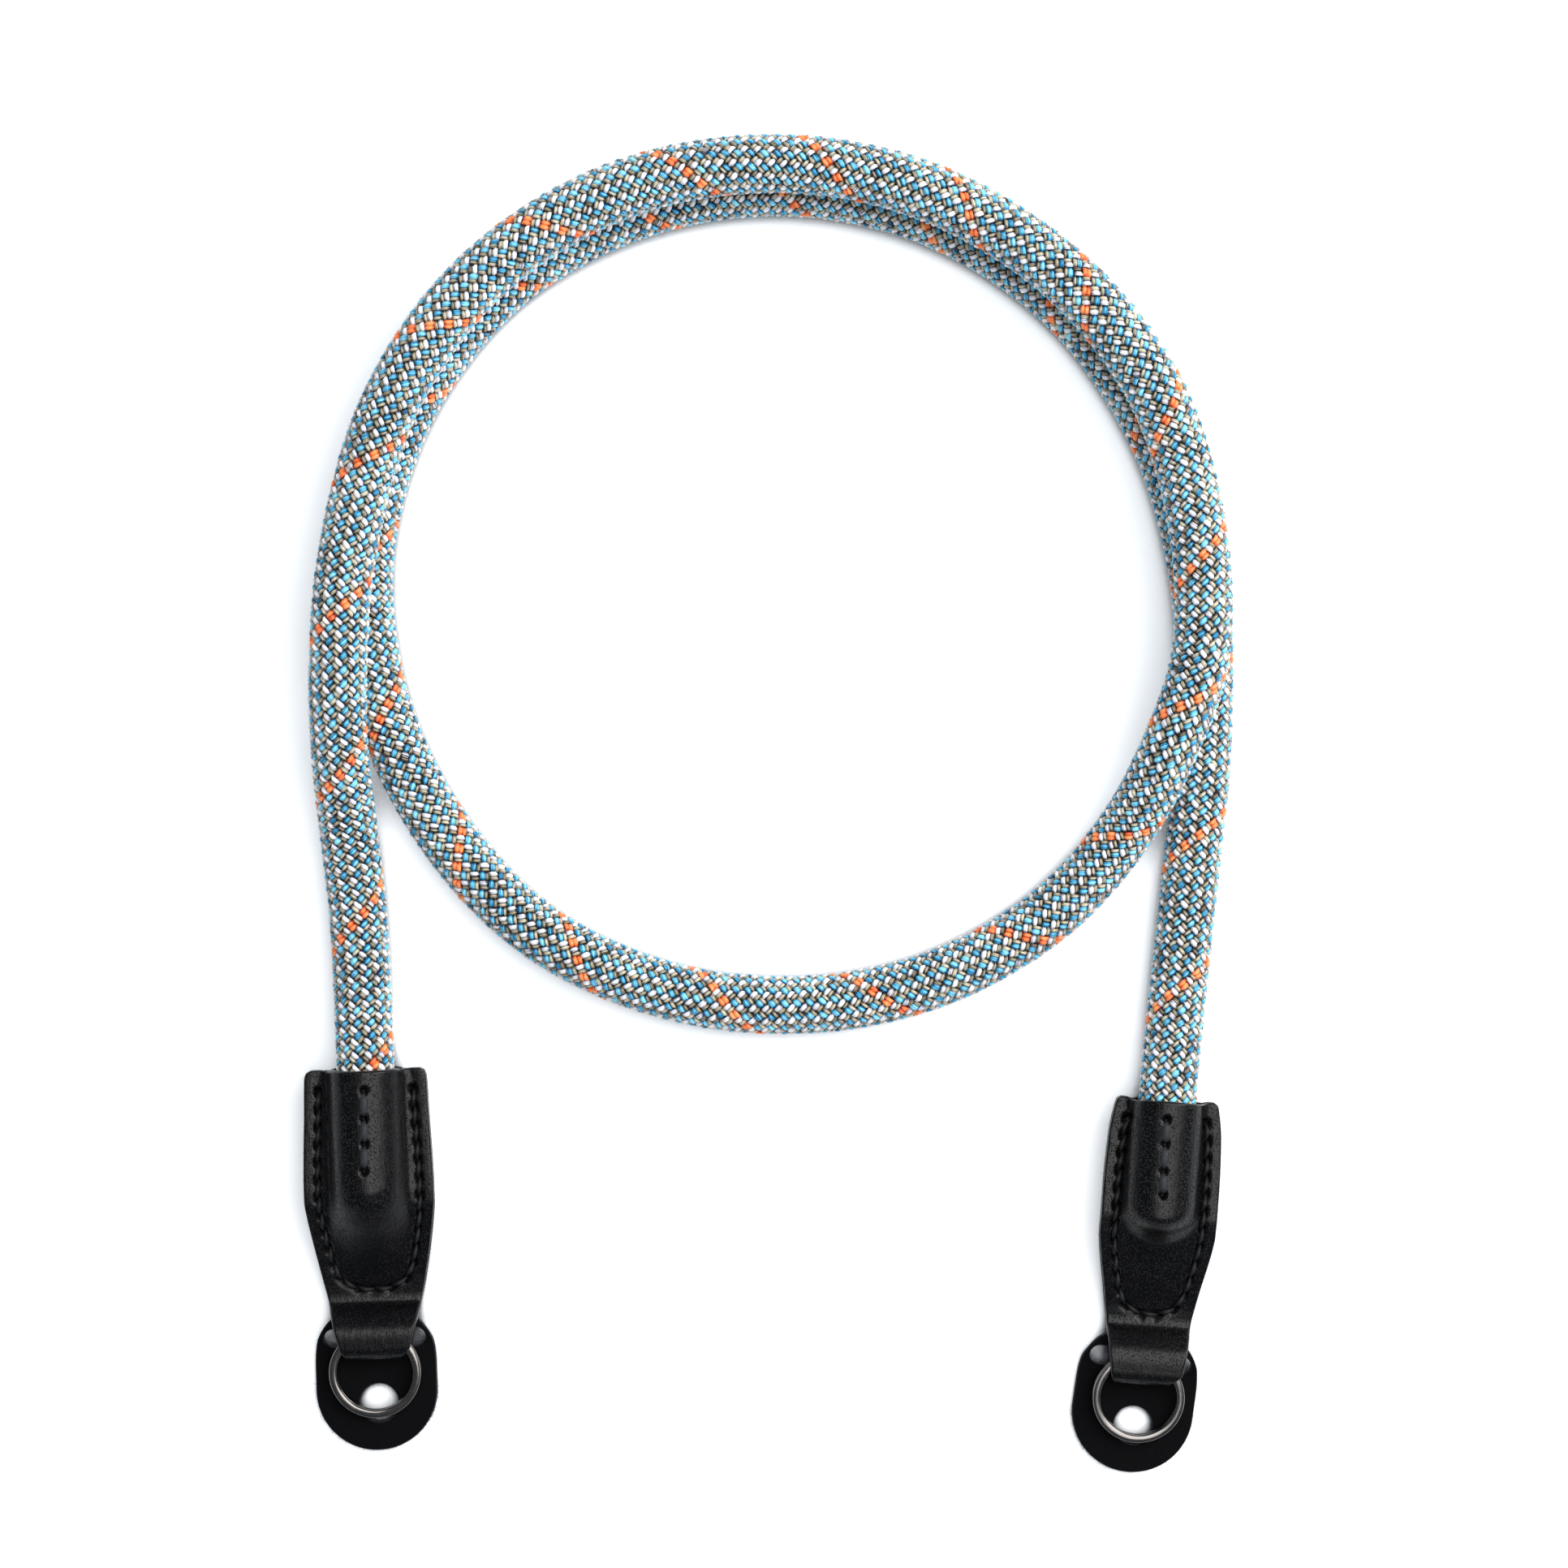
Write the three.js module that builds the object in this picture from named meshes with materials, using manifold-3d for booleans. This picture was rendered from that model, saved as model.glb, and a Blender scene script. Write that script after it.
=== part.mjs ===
import * as THREE from 'three';
import { mergeVertices } from 'three/addons/utils/BufferGeometryUtils.js';
import Module from 'manifold-3d';

// Camera neck strap: one braided rope laid in about one and a half turns. Each end is sewn into a
// pocket of folded leather. The fold holds a split ring and the bar of a small leather flap that
// keeps the ring off the camera body. Millimetres, +Z up, lying on z = 0.

// Rope
const ropeDiameter = 10.4;
const ropeSides = 10;
const ropeSteps = 76;

// Gaps and leather
const clearance = 0.3;
const stripThickness = 1.3;
const layerGap = 0.2;
const flapThickness = 1.4;

// Split ring: one wire in two stacked coils
const ringOuterDiameter = 16.2;
const ringWireWidth = 1.4;
const ringWireHeight = 0.9;
const ringCoilGap = 0.1;
const ringStepAngle = THREE.MathUtils.degToRad(40);
const ringStepsPerTurn = 32;

// Tabs: the strip is folded in half, and its two layers are sewn together round the rope's end
const foldEndWidth = 12.7;
const pocketFillet = 1.5;
const leastWing = 1;
const seamMargin = 0.8;

// Flap: a rounded tongue with a bar at its top, a slot for the strip and a hole for a camera's lug
const flapWidth = 21.4;
const flapTopWidth = 16.4;
const flapCornerDrop = 2;
const flapSideBar = 1.1;
const flapTop = 43.9;
const flapShoulder = 53;
const flapCentre = 57.2;
const flapHole = { diameter: 6.8, across: 0.4, along: 59.5 };
const slotTop = 46.1;
const slotWidth = 3.6;
const slotLength = 18;
const slotRoom = 0.5;
const barRoom = 1.9;

// The two tabs differ a little, as hand-sewn ones do. Places are of the middle of the mouth.
const tabs = [
  {
    side: 'left',
    mouth: { x: -69.5, y: 35.3 },
    turn: THREE.MathUtils.degToRad(1.8),
    length: 51.4,
    pocketLength: 40,
    width: 22.8,
    ring: { across: -0.3, along: 53.8, opens: THREE.MathUtils.degToRad(200) },
    flap: { across: -0.35, along: 0, turn: 0 },
    sections: [
      { along: 0, width: 0.84, bulge: 1, lift: 1 },
      { along: 0.012, width: 0.91, bulge: 1, lift: 1 },
      { along: 0.04, width: 0.94, bulge: 1, lift: 1 },
      { along: 0.2, width: 0.96, bulge: 1, lift: 1 },
      { along: 0.4, width: 0.99, bulge: 1, lift: 1 },
      { along: 0.52, width: 1, bulge: 1, lift: 1 },
      { along: 0.58, width: 1, bulge: 0.94, lift: 0.97 },
      { along: 0.65, width: 0.975, bulge: 0.8, lift: 0.84 },
      { along: 0.75, width: 0.92, bulge: 0.52, lift: 0.62 },
      { along: 0.85, width: 0.855, bulge: 0.26, lift: 0.43 },
      { along: 0.95, width: 0.785, bulge: 0.07, lift: 0.27 },
      { along: 1, width: 0.745, bulge: 0, lift: 0.215 },
    ],
  },
  {
    side: 'right',
    mouth: { x: 71.3, y: 30 },
    turn: THREE.MathUtils.degToRad(-4.2),
    length: 50.7,
    pocketLength: 39,
    width: 20.4,
    ring: { across: -0.9, along: 53.1, opens: THREE.MathUtils.degToRad(320) },
    flap: { across: -0.75, along: -1.1, turn: THREE.MathUtils.degToRad(-4) },
    sections: [
      { along: 0, width: 0.8, bulge: 1, lift: 1 },
      { along: 0.013, width: 0.87, bulge: 1, lift: 1 },
      { along: 0.04, width: 0.9, bulge: 1, lift: 1 },
      { along: 0.17, width: 0.97, bulge: 1, lift: 1 },
      { along: 0.4, width: 1, bulge: 1, lift: 1 },
      { along: 0.52, width: 1, bulge: 1, lift: 1 },
      { along: 0.57, width: 1, bulge: 0.82, lift: 0.95 },
      { along: 0.61, width: 1, bulge: 0.45, lift: 0.89 },
      { along: 0.66, width: 0.98, bulge: 0.16, lift: 0.81 },
      { along: 0.74, width: 0.93, bulge: 0.06, lift: 0.67 },
      { along: 0.86, width: 0.84, bulge: 0.03, lift: 0.44 },
      { along: 0.95, width: 0.78, bulge: 0.01, lift: 0.27 },
      { along: 1, width: 0.745, bulge: 0, lift: 0.215 },
    ],
  },
];

// The middle line of the rope, chosen by hand: out of the left pocket, up onto its own first turn,
// round over it, down on the right, once round on the ground and into the right pocket.
const ropeRoute = [
  { x: -68.9, y: 16.4, z: 6.8 },
  { x: -69.5, y: 35.3, z: 6.8 },
  { x: -70.1, y: 48, z: 5.8 },
  { x: -71, y: 63, z: 5.4 },
  { x: -72.5, y: 77, z: 6.4 },
  { x: -73.5, y: 91, z: 11.1 },
  { x: -73.4, y: 105, z: 15.1 },
  { x: -71.6, y: 126, z: 15.7 },
  { x: -64.2, y: 151.5, z: 15.7 },
  { x: -48.6, y: 173.3, z: 15.6 },
  { x: -25.2, y: 188, z: 15.6 },
  { x: 2.5, y: 192.9, z: 15.6 },
  { x: 28.4, y: 188.2, z: 15.6 },
  { x: 51.2, y: 174.8, z: 15.6 },
  { x: 67.6, y: 155, z: 15.7 },
  { x: 75.3, y: 132, z: 15.9 },
  { x: 76.2, y: 108, z: 15.9 },
  { x: 70.9, y: 91.5, z: 14.1 },
  { x: 63.8, y: 77.2, z: 7.5 },
  { x: 51.5, y: 63, z: 5.3 },
  { x: 32.5, y: 51.7, z: 5.3 },
  { x: 10, y: 46.6, z: 5.3 },
  { x: -15, y: 48.6, z: 5.3 },
  { x: -39, y: 59.3, z: 5.3 },
  { x: -56.6, y: 78, z: 5.3 },
  { x: -67.2, y: 101, z: 5.3 },
  { x: -69.6, y: 126, z: 5.3 },
  { x: -62.2, y: 151.5, z: 5.3 },
  { x: -45.8, y: 172.8, z: 5.3 },
  { x: -22.5, y: 186, z: 5.3 },
  { x: 4.5, y: 190.3, z: 5.3 },
  { x: 31, y: 184.6, z: 5.3 },
  { x: 54.2, y: 169, z: 5.3 },
  { x: 70, y: 145.8, z: 5.3 },
  { x: 77.2, y: 119, z: 5.3 },
  { x: 77.7, y: 92, z: 5.3 },
  { x: 75.5, y: 69, z: 5.3 },
  { x: 73, y: 46, z: 5.7 },
  { x: 71.3, y: 30, z: 6.8 },
  { x: 69.9, y: 11.1, z: 6.8 },
];

// Heights that follow from the sizes above
const ringHeight = 2 * ringWireHeight + ringCoilGap;
const ringMeanRadius = (ringOuterDiameter - ringWireWidth) / 2;
const ringInnerRadius = ringOuterDiameter / 2 - ringWireWidth;
const pocketRadius = ropeDiameter / 2 + clearance + stripThickness;
const wingHalfThickness = stripThickness + layerGap / 2;
const bulgeHeight = pocketRadius - wingHalfThickness;
const barBottom = stripThickness + clearance;
const foldBottom = flapThickness + clearance;
const foldRingBottom = foldBottom + stripThickness + clearance;
const foldTop = foldRingBottom + ringHeight + clearance + stripThickness;
const foldRadius = (foldTop - foldBottom) / 2;
const foldMiddle = (foldTop + foldBottom) / 2;

const material = {
  leather: new THREE.MeshStandardMaterial({ color: 0x101114, roughness: 0.5, metalness: 0 }),
  suede: new THREE.MeshStandardMaterial({ color: 0x0b0b0c, roughness: 0.85, metalness: 0 }),
  metal: new THREE.MeshStandardMaterial({ color: 0x8c8580, roughness: 0.22, metalness: 1 }),
  rope: new THREE.MeshStandardMaterial({ color: 0x7fa9b8, roughness: 0.75, metalness: 0 }),
};

function smoothStep(share) {
  return share * share * (3 - 2 * share);
}

// A closed solid through rows of points. Each row goes once round its section, and its first half
// lies opposite its second half, so that the two ends close with quads.
function loft(rows) {
  const count = rows[0].length;
  const positions = rows.flat().flatMap((point) => [point.x, point.y, point.z]);
  const index = [];
  const quad = (a, b, c, d) => index.push(a, b, c, a, c, d);
  for (let row = 0; row < rows.length - 1; row += 1) {
    for (let step = 0; step < count; step += 1) {
      const next = (step + 1) % count;
      const here = row * count;
      const there = here + count;
      quad(here + step, here + next, there + next, there + step);
    }
  }
  const last = (rows.length - 1) * count;
  for (let step = 0; step < count / 2 - 1; step += 1) {
    const far = count - 1 - step;
    quad(step + 1, step, far, far - 1);
    quad(last + step, last + step + 1, last + far - 1, last + far);
  }
  const geometry = new THREE.BufferGeometry();
  geometry.setAttribute('position', new THREE.Float32BufferAttribute(positions, 3));
  geometry.setIndex(index);
  geometry.computeVertexNormals();
  return geometry;
}

// Half a section of one leather layer: points across the strip from its middle to its edge, and how
// far each stands off the wing. The bulge is an arc that meets the wing in a fillet.
function layerHalf(halfWidth, height) {
  const low = Math.max(height, 0.05);
  const full = pocketRadius + pocketFillet;
  const centreDrop = pocketFillet - (bulgeHeight - pocketRadius);
  const fullFoot = Math.sqrt(full * full - centreDrop * centreDrop);
  const foot = Math.min(fullFoot, halfWidth - leastWing);
  const radius = (foot * foot + low * low - 2 * low * pocketFillet) / (2 * low);
  const tangent = Math.atan2(foot, pocketFillet - low + radius);
  const arcSteps = 5;
  const points = [];
  for (let step = 0; step <= arcSteps; step += 1) {
    const angle = (tangent * step) / arcSteps;
    points.push({ across: radius * Math.sin(angle), off: low - radius + radius * Math.cos(angle) });
  }
  const half = tangent / 2;
  points.push({
    across: foot - pocketFillet * Math.sin(half),
    off: pocketFillet - pocketFillet * Math.cos(half),
  });
  points.push({ across: foot, off: 0 });
  points.push({ across: halfWidth, off: 0 });
  return points;
}

// The outer face of the strip as rows of points across it, from the lower mouth edge round the fold
// to the upper mouth edge. y runs from the mouth at 0 to the fold at -length.
function stripFace(tab) {
  const foldCentre = tab.length - foldRadius;
  const innerFold = foldCentre + 0.66 * (foldRadius - stripThickness);
  const ringReach = tab.ring.along - innerFold;
  const foldHalf = Math.sqrt(ringInnerRadius ** 2 - ringReach ** 2) - clearance;
  const endHalf = foldEndWidth / 2;
  const seamHalf = tab.sections.at(-1).width * (tab.width / 2);
  const neckHalf = (along) => THREE.MathUtils.mapLinear(
    along, tab.pocketLength, foldCentre, seamHalf, endHalf,
  );
  const across = (half, along, heightAt) => {
    const right = half.map((point) => new THREE.Vector3(point.across, -along, heightAt(point.off)));
    const left = right.slice(1).reverse().map((point) => point.clone().setX(-point.x));
    return [...left, ...right];
  };
  const flat = (halfWidth, along, height) => (
    across(layerHalf(halfWidth, 0), along, () => height)
  );

  const lower = [];
  const upper = [];
  for (const section of tab.sections) {
    const along = section.along * tab.pocketLength;
    const halfWidth = section.width * (tab.width / 2);
    const middle = Math.max(section.lift * pocketRadius, wingHalfThickness);
    const drop = section.bulge * (middle - wingHalfThickness);
    const rise = section.bulge * bulgeHeight;
    lower.push(across(layerHalf(halfWidth, drop), along, (off) => middle - wingHalfThickness - off));
    upper.push(across(layerHalf(halfWidth, rise), along, (off) => middle + wingHalfThickness + off));
  }

  const slotRise = { from: slotTop + tab.flap.along + slotRoom, to: foldCentre };
  for (const share of [0.5, 0.8]) {
    const along = THREE.MathUtils.lerp(tab.pocketLength, slotRise.from, share);
    lower.push(flat(neckHalf(along), along, 0));
  }
  for (const share of [0, 0.25, 0.5, 0.75, 1]) {
    const along = THREE.MathUtils.lerp(slotRise.from, slotRise.to, share);
    lower.push(flat(neckHalf(along), along, foldBottom * smoothStep(share)));
  }

  const seamTop = 2 * stripThickness + layerGap;
  const ringSlope = Math.tan(ringTilt(tab));
  const humpAlong = tab.ring.along - ringMeanRadius;
  const humpTop = foldTop + ringSlope * (foldCentre - humpAlong);
  const riseEnd = flapTop + tab.flap.along + barRoom;
  for (const share of [0.16, 0.34, 0.5, 0.66, 0.84, 1]) {
    const along = THREE.MathUtils.lerp(tab.pocketLength + seamMargin, riseEnd, share);
    const height = THREE.MathUtils.lerp(seamTop, humpTop, smoothStep(share));
    upper.push(flat(neckHalf(along), along, height));
  }
  upper.push(flat(neckHalf(humpAlong), humpAlong, humpTop));

  const fold = [];
  for (const degrees of [-60, -30, 0, 30, 60, 90]) {
    const angle = THREE.MathUtils.degToRad(degrees);
    const spread = Math.sin(angle) ** 6;
    const halfWidth = THREE.MathUtils.lerp(foldHalf, endHalf, spread);
    const along = foldCentre + foldRadius * Math.cos(angle);
    const row = flat(halfWidth, along, foldMiddle + foldRadius * Math.sin(angle));
    row.forEach((point) => point.setX(point.x + tab.ring.across * (1 - spread)));
    fold.push(row);
  }
  return [...lower, ...fold, ...upper.reverse()];
}

// Each point of the face goes in by the strip's thickness, square to the face
function insideOf(face) {
  return face.map((row, i) => row.map((point, j) => {
    const before = face[Math.max(i - 1, 0)][j];
    const after = face[Math.min(i + 1, face.length - 1)][j];
    const left = row[Math.max(j - 1, 0)];
    const right = row[Math.min(j + 1, row.length - 1)];
    const along = new THREE.Vector3().subVectors(after, before);
    const inward = new THREE.Vector3().subVectors(right, left).cross(along).normalize();
    return point.clone().addScaledVector(inward, -stripThickness);
  }));
}

function tabGeometry(tab) {
  const outside = stripFace(tab);
  const inside = insideOf(outside);
  return loft(outside.map((row, i) => [...row, ...inside[i].slice().reverse()]));
}

// The ring leans on the flap at its far side and lies between the folded layers at its near side
function ringTilt(tab) {
  const foldCentre = tab.length - foldRadius;
  const reach = tab.ring.along + ringMeanRadius - foldCentre;
  return Math.atan((foldRingBottom - foldBottom) / reach);
}

// One flat wire, two turns long: the second turn lies on the first, joined by a short step
function ringGeometry() {
  const rows = [];
  const steps = 2 * ringStepsPerTurn;
  const pitch = ringWireHeight + ringCoilGap;
  const turn = 2 * Math.PI;
  const span = 2 * turn - ringStepAngle - 0.04;
  for (let step = 0; step <= steps; step += 1) {
    const angle = (span * step) / steps;
    const climb = THREE.MathUtils.clamp((angle - (turn - ringStepAngle)) / ringStepAngle, 0, 1);
    const base = pitch * smoothStep(climb);
    const section = [
      { radial: -0.5, up: 0.75 },
      { radial: -0.28, up: 1 },
      { radial: 0.28, up: 1 },
      { radial: 0.5, up: 0.75 },
      { radial: 0.5, up: 0.25 },
      { radial: 0.28, up: 0 },
      { radial: -0.28, up: 0 },
      { radial: -0.5, up: 0.25 },
    ];
    rows.push(section.map((corner) => {
      const radius = ringMeanRadius + corner.radial * ringWireWidth;
      const height = base + corner.up * ringWireHeight - ringHeight / 2;
      return new THREE.Vector3(radius * Math.cos(angle), radius * Math.sin(angle), height);
    }));
  }
  return loft(rows);
}

function ropeGeometry() {
  const route = new THREE.CatmullRomCurve3(
    ropeRoute.map((point) => new THREE.Vector3(point.x, point.y, point.z)),
    false,
    'centripetal',
  );
  const section = new THREE.Shape();
  for (let side = 0; side < ropeSides; side += 1) {
    const angle = (2 * Math.PI * side) / ropeSides;
    const x = (ropeDiameter / 2) * Math.cos(angle);
    const y = (ropeDiameter / 2) * Math.sin(angle);
    if (side === 0) {
      section.moveTo(x, y);
    } else {
      section.lineTo(x, y);
    }
  }
  return new THREE.ExtrudeGeometry(section, { steps: ropeSteps, extrudePath: route });
}

const wasm = await Module();
wasm.setup();

function solidOf(geometry) {
  const bare = geometry.clone();
  bare.deleteAttribute('normal');
  bare.deleteAttribute('uv');
  const merged = mergeVertices(bare, 1e-4);
  return new wasm.Manifold(new wasm.Mesh({
    numProp: 3,
    vertProperties: new Float32Array(merged.attributes.position.array),
    triVerts: new Uint32Array(merged.index.array),
  }));
}

function geometryOf(solid) {
  const mesh = solid.getMesh();
  const geometry = new THREE.BufferGeometry();
  geometry.setAttribute('position', new THREE.Float32BufferAttribute(mesh.vertProperties, 3));
  geometry.setIndex(new THREE.BufferAttribute(mesh.triVerts, 1));
  geometry.computeVertexNormals();
  return geometry;
}

// Outline of the flap seen from above, with x across and y up: its hole and slot go right through
function flapOutline() {
  const half = flapWidth / 2;
  const slotHalf = slotLength / 2 + flapSideBar;
  const slotMiddle = slotTop + slotWidth / 2;
  const topHalf = flapTopWidth / 2;
  const cornerStart = topHalf - flapCornerDrop;
  const outline = new THREE.Shape();
  outline.moveTo(-cornerStart, -flapTop);
  outline.lineTo(cornerStart, -flapTop);
  outline.quadraticCurveTo(topHalf, -flapTop, slotHalf, -slotMiddle);
  outline.quadraticCurveTo(half, -slotTop - slotWidth, half, -flapShoulder);
  outline.lineTo(half, -flapCentre);
  outline.absarc(0, -flapCentre, half, 0, -Math.PI, true);
  outline.lineTo(-half, -flapShoulder);
  outline.quadraticCurveTo(-half, -slotTop - slotWidth, -slotHalf, -slotMiddle);
  outline.quadraticCurveTo(-topHalf, -flapTop, -cornerStart, -flapTop);

  const hole = new THREE.Path();
  hole.absarc(flapHole.across, -flapHole.along, flapHole.diameter / 2, 0, 2 * Math.PI, false);
  const slot = new THREE.Path();
  const slotRadius = slotWidth / 2;
  const slotEnd = slotLength / 2 - slotRadius;
  slot.absarc(slotEnd, -slotMiddle, slotRadius, -Math.PI / 2, Math.PI / 2, false);
  slot.absarc(-slotEnd, -slotMiddle, slotRadius, Math.PI / 2, 1.5 * Math.PI, false);
  outline.holes = [hole, slot];
  return outline;
}

// The flap's bar lies on the strip's lower layer, and its body on the ground: a bent sheet, seen
// from the side, cut to the outline
function flapGeometry() {
  const cutter = new THREE.ExtrudeGeometry(flapOutline(), {
    depth: 10, bevelEnabled: false, curveSegments: 12,
  });
  cutter.translate(0, 0, -2);

  const bend = { from: slotTop - 0.3, to: slotTop + slotWidth + 0.4, steps: 6 };
  const lower = [new THREE.Vector2(-flapTop + 2, barBottom)];
  for (let step = 0; step <= bend.steps; step += 1) {
    const share = step / bend.steps;
    const along = THREE.MathUtils.lerp(bend.from, bend.to, share);
    lower.push(new THREE.Vector2(-along, barBottom * (1 - smoothStep(share))));
  }
  lower.push(new THREE.Vector2(-flapCentre - flapWidth, 0));
  const upper = lower.map((point) => new THREE.Vector2(point.x, point.y + flapThickness));
  const sheet = new THREE.ExtrudeGeometry(new THREE.Shape([...lower, ...upper.reverse()]), {
    depth: 2 * flapWidth, bevelEnabled: false,
  });
  sheet.applyMatrix4(new THREE.Matrix4().makeBasis(
    new THREE.Vector3(0, 1, 0), new THREE.Vector3(0, 0, 1), new THREE.Vector3(1, 0, 0),
  ));
  sheet.translate(-flapWidth, 0, 0);
  return geometryOf(solidOf(sheet).intersect(solidOf(cutter)));
}

function named(name, geometry, look) {
  const mesh = new THREE.Mesh(geometry, look);
  mesh.name = name;
  return mesh;
}

function tabGroup(tab) {
  const group = new THREE.Group();
  group.position.set(tab.mouth.x, tab.mouth.y, 0);
  group.rotation.z = tab.turn;
  group.add(named(`tab_${tab.side}`, tabGeometry(tab), material.leather));

  const ring = named(`ring_${tab.side}`, ringGeometry(), material.metal);
  const ringTurn = ringTilt(tab);
  const farBottom = foldBottom;
  const centreHeight = farBottom + ringMeanRadius * Math.sin(ringTurn) + ringHeight / 2;
  ring.position.set(tab.ring.across, -tab.ring.along, centreHeight);
  ring.rotation.set(ringTurn, 0, tab.ring.opens, 'XYZ');
  group.add(ring);

  const flap = named(`flap_${tab.side}`, flapGeometry(), material.suede);
  const pivot = new THREE.Vector3(0, -slotTop, 0);
  flap.rotation.z = tab.flap.turn;
  const turned = pivot.clone().applyEuler(flap.rotation);
  flap.position.copy(pivot).sub(turned);
  flap.position.x += tab.flap.across;
  flap.position.y -= tab.flap.along;
  group.add(flap);
  return group;
}

const strap = new THREE.Group();
strap.add(named('rope', ropeGeometry(), material.rope));
tabs.forEach((tab) => strap.add(tabGroup(tab)));

export default strap;
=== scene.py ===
"""Camera neck strap: a braided rope laid in one and a half turns, with a leather tab at each end."""

import math

import bmesh
import bpy
import numpy as np
from mathutils import Matrix, Vector


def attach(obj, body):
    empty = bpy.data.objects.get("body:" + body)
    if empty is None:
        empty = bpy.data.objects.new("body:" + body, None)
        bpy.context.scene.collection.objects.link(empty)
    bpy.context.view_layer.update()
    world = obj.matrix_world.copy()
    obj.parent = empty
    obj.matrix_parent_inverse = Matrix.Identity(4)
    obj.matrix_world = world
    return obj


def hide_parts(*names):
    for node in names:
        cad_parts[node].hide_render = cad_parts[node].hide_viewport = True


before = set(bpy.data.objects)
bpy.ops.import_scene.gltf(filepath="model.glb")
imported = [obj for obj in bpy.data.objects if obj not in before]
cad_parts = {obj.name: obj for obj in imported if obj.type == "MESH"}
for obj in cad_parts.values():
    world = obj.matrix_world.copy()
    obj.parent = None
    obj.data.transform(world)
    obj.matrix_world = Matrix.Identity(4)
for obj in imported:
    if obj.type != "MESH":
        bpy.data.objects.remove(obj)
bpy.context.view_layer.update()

MM = 0.001
random = np.random.default_rng(7)

# Rope, in metres: the route's points are the ones that its solid follows
ROPE_DIAMETER = 0.0104
ROPE_LENGTH = 0.9035
CORE_RADIUS = 0.0039
CORE_SIDES = 16
CORE_STEPS = 460
ROLL_SMOOTHING = 101
ROPE_ROUTE = [
    (-0.0689, 0.0164, 0.0068),
    (-0.0695, 0.0353, 0.0068),
    (-0.0701, 0.0480, 0.0058),
    (-0.0710, 0.0630, 0.0054),
    (-0.0725, 0.0770, 0.0064),
    (-0.0735, 0.0910, 0.0111),
    (-0.0734, 0.1050, 0.0151),
    (-0.0716, 0.1260, 0.0157),
    (-0.0642, 0.1515, 0.0157),
    (-0.0486, 0.1733, 0.0156),
    (-0.0252, 0.1880, 0.0156),
    (0.0025, 0.1929, 0.0156),
    (0.0284, 0.1882, 0.0156),
    (0.0512, 0.1748, 0.0156),
    (0.0676, 0.1550, 0.0157),
    (0.0753, 0.1320, 0.0159),
    (0.0762, 0.1080, 0.0159),
    (0.0709, 0.0915, 0.0141),
    (0.0638, 0.0772, 0.0075),
    (0.0515, 0.0630, 0.0053),
    (0.0325, 0.0517, 0.0053),
    (0.0100, 0.0466, 0.0053),
    (-0.0150, 0.0486, 0.0053),
    (-0.0390, 0.0593, 0.0053),
    (-0.0566, 0.0780, 0.0053),
    (-0.0672, 0.1010, 0.0053),
    (-0.0696, 0.1260, 0.0053),
    (-0.0622, 0.1515, 0.0053),
    (-0.0458, 0.1728, 0.0053),
    (-0.0225, 0.1860, 0.0053),
    (0.0045, 0.1903, 0.0053),
    (0.0310, 0.1846, 0.0053),
    (0.0542, 0.1690, 0.0053),
    (0.0700, 0.1458, 0.0053),
    (0.0772, 0.1190, 0.0053),
    (0.0777, 0.0920, 0.0053),
    (0.0755, 0.0690, 0.0053),
    (0.0730, 0.0460, 0.0057),
    (0.0713, 0.0300, 0.0068),
    (0.0699, 0.0111, 0.0068),
]

# Braid: 12 carriers each way round, one over one, with two yarns side by side on each carrier
CARRIERS = 12
LEAD = 0.02653
BRAID_RADIUS = 0.00431
WAVE = 0.00054
YARN_WIDTH = 0.00086
YARN_HEIGHT = 0.00086
# For each yarn: its offset on the carrier, how far it lies below the others, and its share of the width
BLUE_YARN = (0.00035, 0, 1.19)
WHITE_YARN = (0.00037, 0, 1.1)
TAN_YARN = (-0.00047, 0.0001, 0.84)
ORANGE_YARNS = ((0.00039, 0, 1.04), (-0.00039, 0, 1.04))
SURFACE_RADIUS = 0.0052
ORANGE_CARRIER = 4
# How far the rope has rolled about its own line, in degrees, by the distance along it
ROPE_ROLL = [
    (0.000, 0),
    (0.045, -8),
    (0.100, -46),
    (0.127, -46),
    (0.178, -24),
    (0.205, -22),
    (0.255, 18),
    (0.306, 42),
    (0.356, 78),
    (0.409, 85),
    (0.464, 65),
    (0.518, 42),
    (0.547, 20),
    (0.603, -15),
    (0.657, -28),
    (0.706, 2),
    (0.761, -4),
    (0.788, 0),
    (0.811, 26),
    (0.865, 26),
    (0.903, 24),
]


def smooth_step(share):
    return share * share * (3 - 2 * share)


def new_mesh(name, points, faces, material, smooth=True):
    mesh = bpy.data.meshes.new(name)
    mesh.from_pydata(points, [], faces)
    mesh.materials.append(material)
    if smooth:
        mesh.shade_smooth()
    piece = bpy.data.objects.new(name, mesh)
    bpy.context.scene.collection.objects.link(piece)
    return piece


def wall_faces(rings, size, base=0, turned=False):
    """The faces between closed rings of points that follow each other."""
    faces = []
    for here in range(base, base + (rings - 1) * size, size):
        there = here + size
        for step in range(size):
            after = (step + 1) % size
            if turned:
                faces.append((here + step, there + step, there + after, here + after))
            else:
                faces.append((here + step, here + after, there + after, there + step))
    return faces


# Materials


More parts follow.
